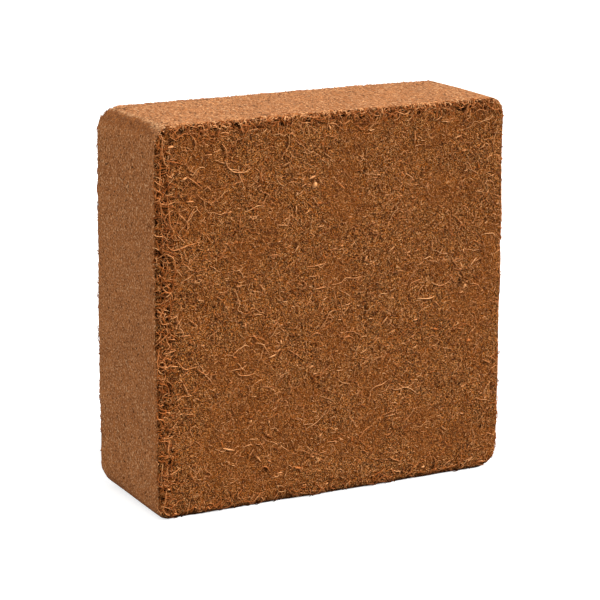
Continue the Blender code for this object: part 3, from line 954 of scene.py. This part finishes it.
class MatFibres(bpy.types.Operator):
    """Lays the short fibres and the broken bits that mat the two pressed faces"""

    bl_idname = "coir.mat_fibres"
    bl_label = "Mat fibres"

    def execute(self, context):
        fibre = context.scene.coir_fibre
        lay = {"material": fibre_material("short coir fibre", 0.03, 1.0, 0.45), "arch": 0.32, "flat": 0.8}
        for draw, side in enumerate(("front", "back")):
            whole = {"seed": draw, "points": 3, "span": (1.5, 5.6), "thick": 1.0, "ends": (-0.7, 0.12)}
            strew(f"mat_fibres_{side}", side, fibre.mat_per_face, curl=(1.0, 3.0), **whole, **lay)
            # A bit has two points, so it is straight and has no middle to stand up.
            bit = {"seed": draw + 10, "points": 2, "span": (0.9, 2.6), "thick": 1.15, "ends": (-0.5, 0.22)}
            strew(f"fibre_bits_{side}", side, fibre.bits, curl=(1.0, 3.0), **bit, **lay)
        return {"FINISHED"}


# How many strands each face has, next to the number that is set. The front is the looser one.
STRAND_SHARES = {"front": 1.6, "back": 0.8}


class Strands(bpy.types.Operator):
    """Strews long curly strands on the pressed faces, the tangle in their torn rims and the chips of the top edge"""

    bl_idname = "coir.strands"
    bl_label = "Strands and rim tangle"

    def execute(self, context):
        fibre = context.scene.coir_fibre
        lay = {"material": fibre_material("long coir strand", 0.5, 0.97, 0.15), "thick": 1.0, "flat": 0.8}
        for draw, (side, share) in enumerate(STRAND_SHARES.items()):
            run = {"seed": draw + 20, "points": 11, "span": (4.0, 17.0), "curl": (3.2, 10.0)}
            number = share * fibre.strands
            strew(f"strands_{side}", f"{side}_wild", number, arch=0.4, ends=(-0.4, 0.35), **run, **lay)
        lay = {"material": fibre_material("torn rim fibre", 0.22, 0.78, 0.14), "thick": 1.65, "flat": 0.8}
        run = {"seed": 40, "points": 7, "span": (4.0, 17.0), "curl": (2.6, 9.0)}
        strew("rim_tangle", "tangle", 2 * fibre.tangle, arch=0.6, ends=(-1.8, 0.2), **run, **lay)
        lay = {"material": fibre_material("crumbled edge chip", 0.2, 1.25, 0.15), "thick": 1.45, "flat": 0.6}
        run = {"seed": 120, "points": 3, "span": (0.9, 4.0), "curl": (0.6, 5.0)}
        strew("brow_chips", "brow", 2 * fibre.brow, arch=0.3, ends=(-0.6, 0.9), **run, **lay)
        return {"FINISHED"}


class FrontDetail(bpy.types.Operator):
    """Places the strands and chips that the photograph shows on the front, one by one"""

    bl_idname = "coir.front_detail"
    bl_label = "Front strands and chips"

    def execute(self, context):
        fibre = context.scene.coir_fibre
        tree = bpy.data.node_groups["placed fibres"]
        run = {"Bale": skin_object(), "Step": 1.4 * MM}
        strands = [
            (*STRAND_KINDS[kind], list(zip(path[::2], path[1::2])))
            for kind, paths in FRONT_STRANDS.items()
            for path in paths
        ]
        combed = laid(fibre_material("combed coir strand", 0.0, 1.0, 0.22), 1.0, 0.5, (-0.1, 0.5), 0.8)
        grow("front_strands", paths_mesh(strands, fibre.seed), tree, run | combed)
        chips = []
        chance = np.random.default_rng(fibre.seed)
        for x, z, wide, high, shade in FRONT_CHIPS:
            # A chip lies along its longer side, or leans a little from it.
            lean = chance.uniform(-0.5, 0.5) + (0 if wide > high else pi / 2)
            reach = Vector((cos(lean), sin(lean))) * max(wide, high) / 2
            ends = [(x + part * reach.x, z + part * reach.y) for part in (-1, 0, 1)]
            chips.append((shade, 1.1 * min(wide, high) * MM / fibre.thickness, ends))
        husk = laid(fibre_material("husk chip", 0.0, 0.92, 0.05), 1.0, 0.4, (-0.1, 0.4), 0.4)
        grow("front_chips", paths_mesh(chips, fibre.seed + 1), tree, run | husk)
        return {"FINISHED"}


class SideFibres(bpy.types.Operator):
    """Beds short fibres in the mould sides and slivers of husk in the pressed faces, and drops crumbs on the top"""

    bl_idname = "coir.side_fibres"
    bl_label = "Side fibres, crumbs and slivers"

    def execute(self, context):
        fibre = context.scene.coir_fibre
        lay = {"material": fibre_material("rubbed coir fibre", 0.2, 0.6, 0.15), "thick": 1.0, "flat": 0.5}
        run = {"seed": 60, "points": 2, "span": (1.5, 4.0), "curl": (0.8, 5.0)}
        strew("side_fibres", "mould", fibre.side, arch=0.0, ends=(-0.25, -0.02), **run, **lay)
        lay = {"material": fibre_material("settled crumb", 0.12, 1.1, 0.1), "thick": 1.25, "flat": 0.8}
        run = {"seed": 100, "points": 2, "span": (0.7, 2.2), "curl": (0.0, 5.0)}
        strew("settled_crumbs", "settled", fibre.crumbs, arch=0.0, ends=(-0.3, 0.45), **run, **lay)
        lay = {"material": fibre_material("husk sliver", 0.5, 0.9, 0.1), "thick": 2.6, "flat": 0.35}
        run = {"seed": 80, "points": 4, "span": (2.5, 7.0), "curl": (0.7, 8.0)}
        strew("husk_slivers", "pressed", fibre.slivers, arch=0.5, ends=(-0.2, 0.5), **run, **lay)
        return {"FINISHED"}


# The point that the camera looks at, its sensor in mm, and the side of the floor in metres.
AIM = Vector((-0.00202, 0, 0.14106))
SENSOR = 36.0
FLOOR_SIZE = 24


class PhotoStage(bpy.types.Operator):
    """Sets the camera where the photograph was taken, the soft lights and the pale floor"""

    bl_idname = "coir.photo_stage"
    bl_label = "Photo stage"

    def execute(self, context):
        stage = context.scene.coir_stage
        back = self.way(stage.azimuth, stage.elevation)
        camera = added("camera", bpy.data.cameras.new("camera"))
        camera.data.lens = stage.lens
        camera.data.sensor_width = SENSOR
        camera.matrix_world = (
            Matrix.Translation(AIM + back * stage.distance)
            @ (-back).to_track_quat("-Z", "Y").to_matrix().to_4x4()
            @ Matrix.Rotation(radians(stage.roll), 4, "Z")
        )
        context.scene.camera = camera

        # Each light: its strength, how much of the sky it covers, and its degrees round the bale and up.
        for name, strength, softness, around, above in (
            ("key", stage.key, 16, 55, 34),
            ("fill", stage.fill, 100, -75, 35),
        ):
            lamp = bpy.data.lights.new(name, "SUN")
            lamp.energy = strength
            lamp.angle = radians(softness)
            added(name, lamp).rotation_euler = self.way(around, above).to_track_quat("Z", "Y").to_euler()
        self.floor(stage)
        world = bpy.data.worlds.new("white surroundings")
        world.use_nodes = True
        world.node_tree.nodes["Background"].inputs["Color"].default_value = (1, 1, 1, 1)
        world.node_tree.nodes["Background"].inputs["Strength"].default_value = stage.sky
        context.scene.world = world
        context.scene.view_settings.view_transform = "Standard"
        return {"FINISHED"}

    @staticmethod
    def way(around, above):
        """The direction that is so many degrees round the bale from its front, and so many above the horizon."""
        around, above = radians(around), radians(above)
        return Vector((sin(around) * cos(above), -cos(around) * cos(above), sin(above)))

    @staticmethod
    def floor(stage):
        bpy.ops.mesh.primitive_plane_add(size=FLOOR_SIZE, location=(0, 0, 0))
        floor = bpy.context.object
        floor.name = "floor"
        # Matte paper swept out under the bale: it has no gloss, so the eye sees plain white.
        material, _, shader = new_material("matte white sweep")
        shader.inputs["Base Color"].default_value = tuple(stage.floor)
        shader.inputs["Roughness"].default_value = 0.9
        shader.inputs["Emission Color"].default_value = (1, 1, 1, 1)
        shader.inputs["Emission Strength"].default_value = stage.glow
        floor.data.materials.append(material)
        # The floor lights nothing, or it would wash out the dark underside of the rims.
        floor.visible_diffuse = floor.visible_glossy = False


class CoirPanel(bpy.types.Panel):
    """Lists the steps that dress the bale, in order"""

    bl_idname = "COIR_PT_bale"
    bl_label = "Coir bale"
    bl_space_type = "VIEW_3D"
    bl_region_type = "UI"
    bl_category = "Coir"

    def draw(self, context):
        for step in STEPS:
            self.layout.operator(step.bl_idname)
        for group in (context.scene.coir_pith, context.scene.coir_fibre, context.scene.coir_stage):
            box = self.layout.box()
            for name in group.__annotations__:
                box.prop(group, name)


STEPS = (PressBale, MatFibres, Strands, FrontDetail, SideFibres, PhotoStage)
CLASSES = (PithSkin, LooseFibre, StudioStage, *STEPS, CoirPanel)


def register():
    for made in CLASSES:
        bpy.utils.register_class(made)
    bpy.types.Scene.coir_pith = PointerProperty(type=PithSkin)
    bpy.types.Scene.coir_fibre = PointerProperty(type=LooseFibre)
    bpy.types.Scene.coir_stage = PointerProperty(type=StudioStage)


def unregister():
    del bpy.types.Scene.coir_stage, bpy.types.Scene.coir_fibre, bpy.types.Scene.coir_pith
    for made in reversed(CLASSES):
        bpy.utils.unregister_class(made)


def main():
    register()
    bpy.ops.coir.press_bale()
    bpy.ops.coir.mat_fibres()
    bpy.ops.coir.strands()
    bpy.ops.coir.front_detail()
    bpy.ops.coir.side_fibres()
    bpy.ops.coir.photo_stage()
    bpy.data.objects.remove(skin_object())


if __name__ == "__main__":
    main()
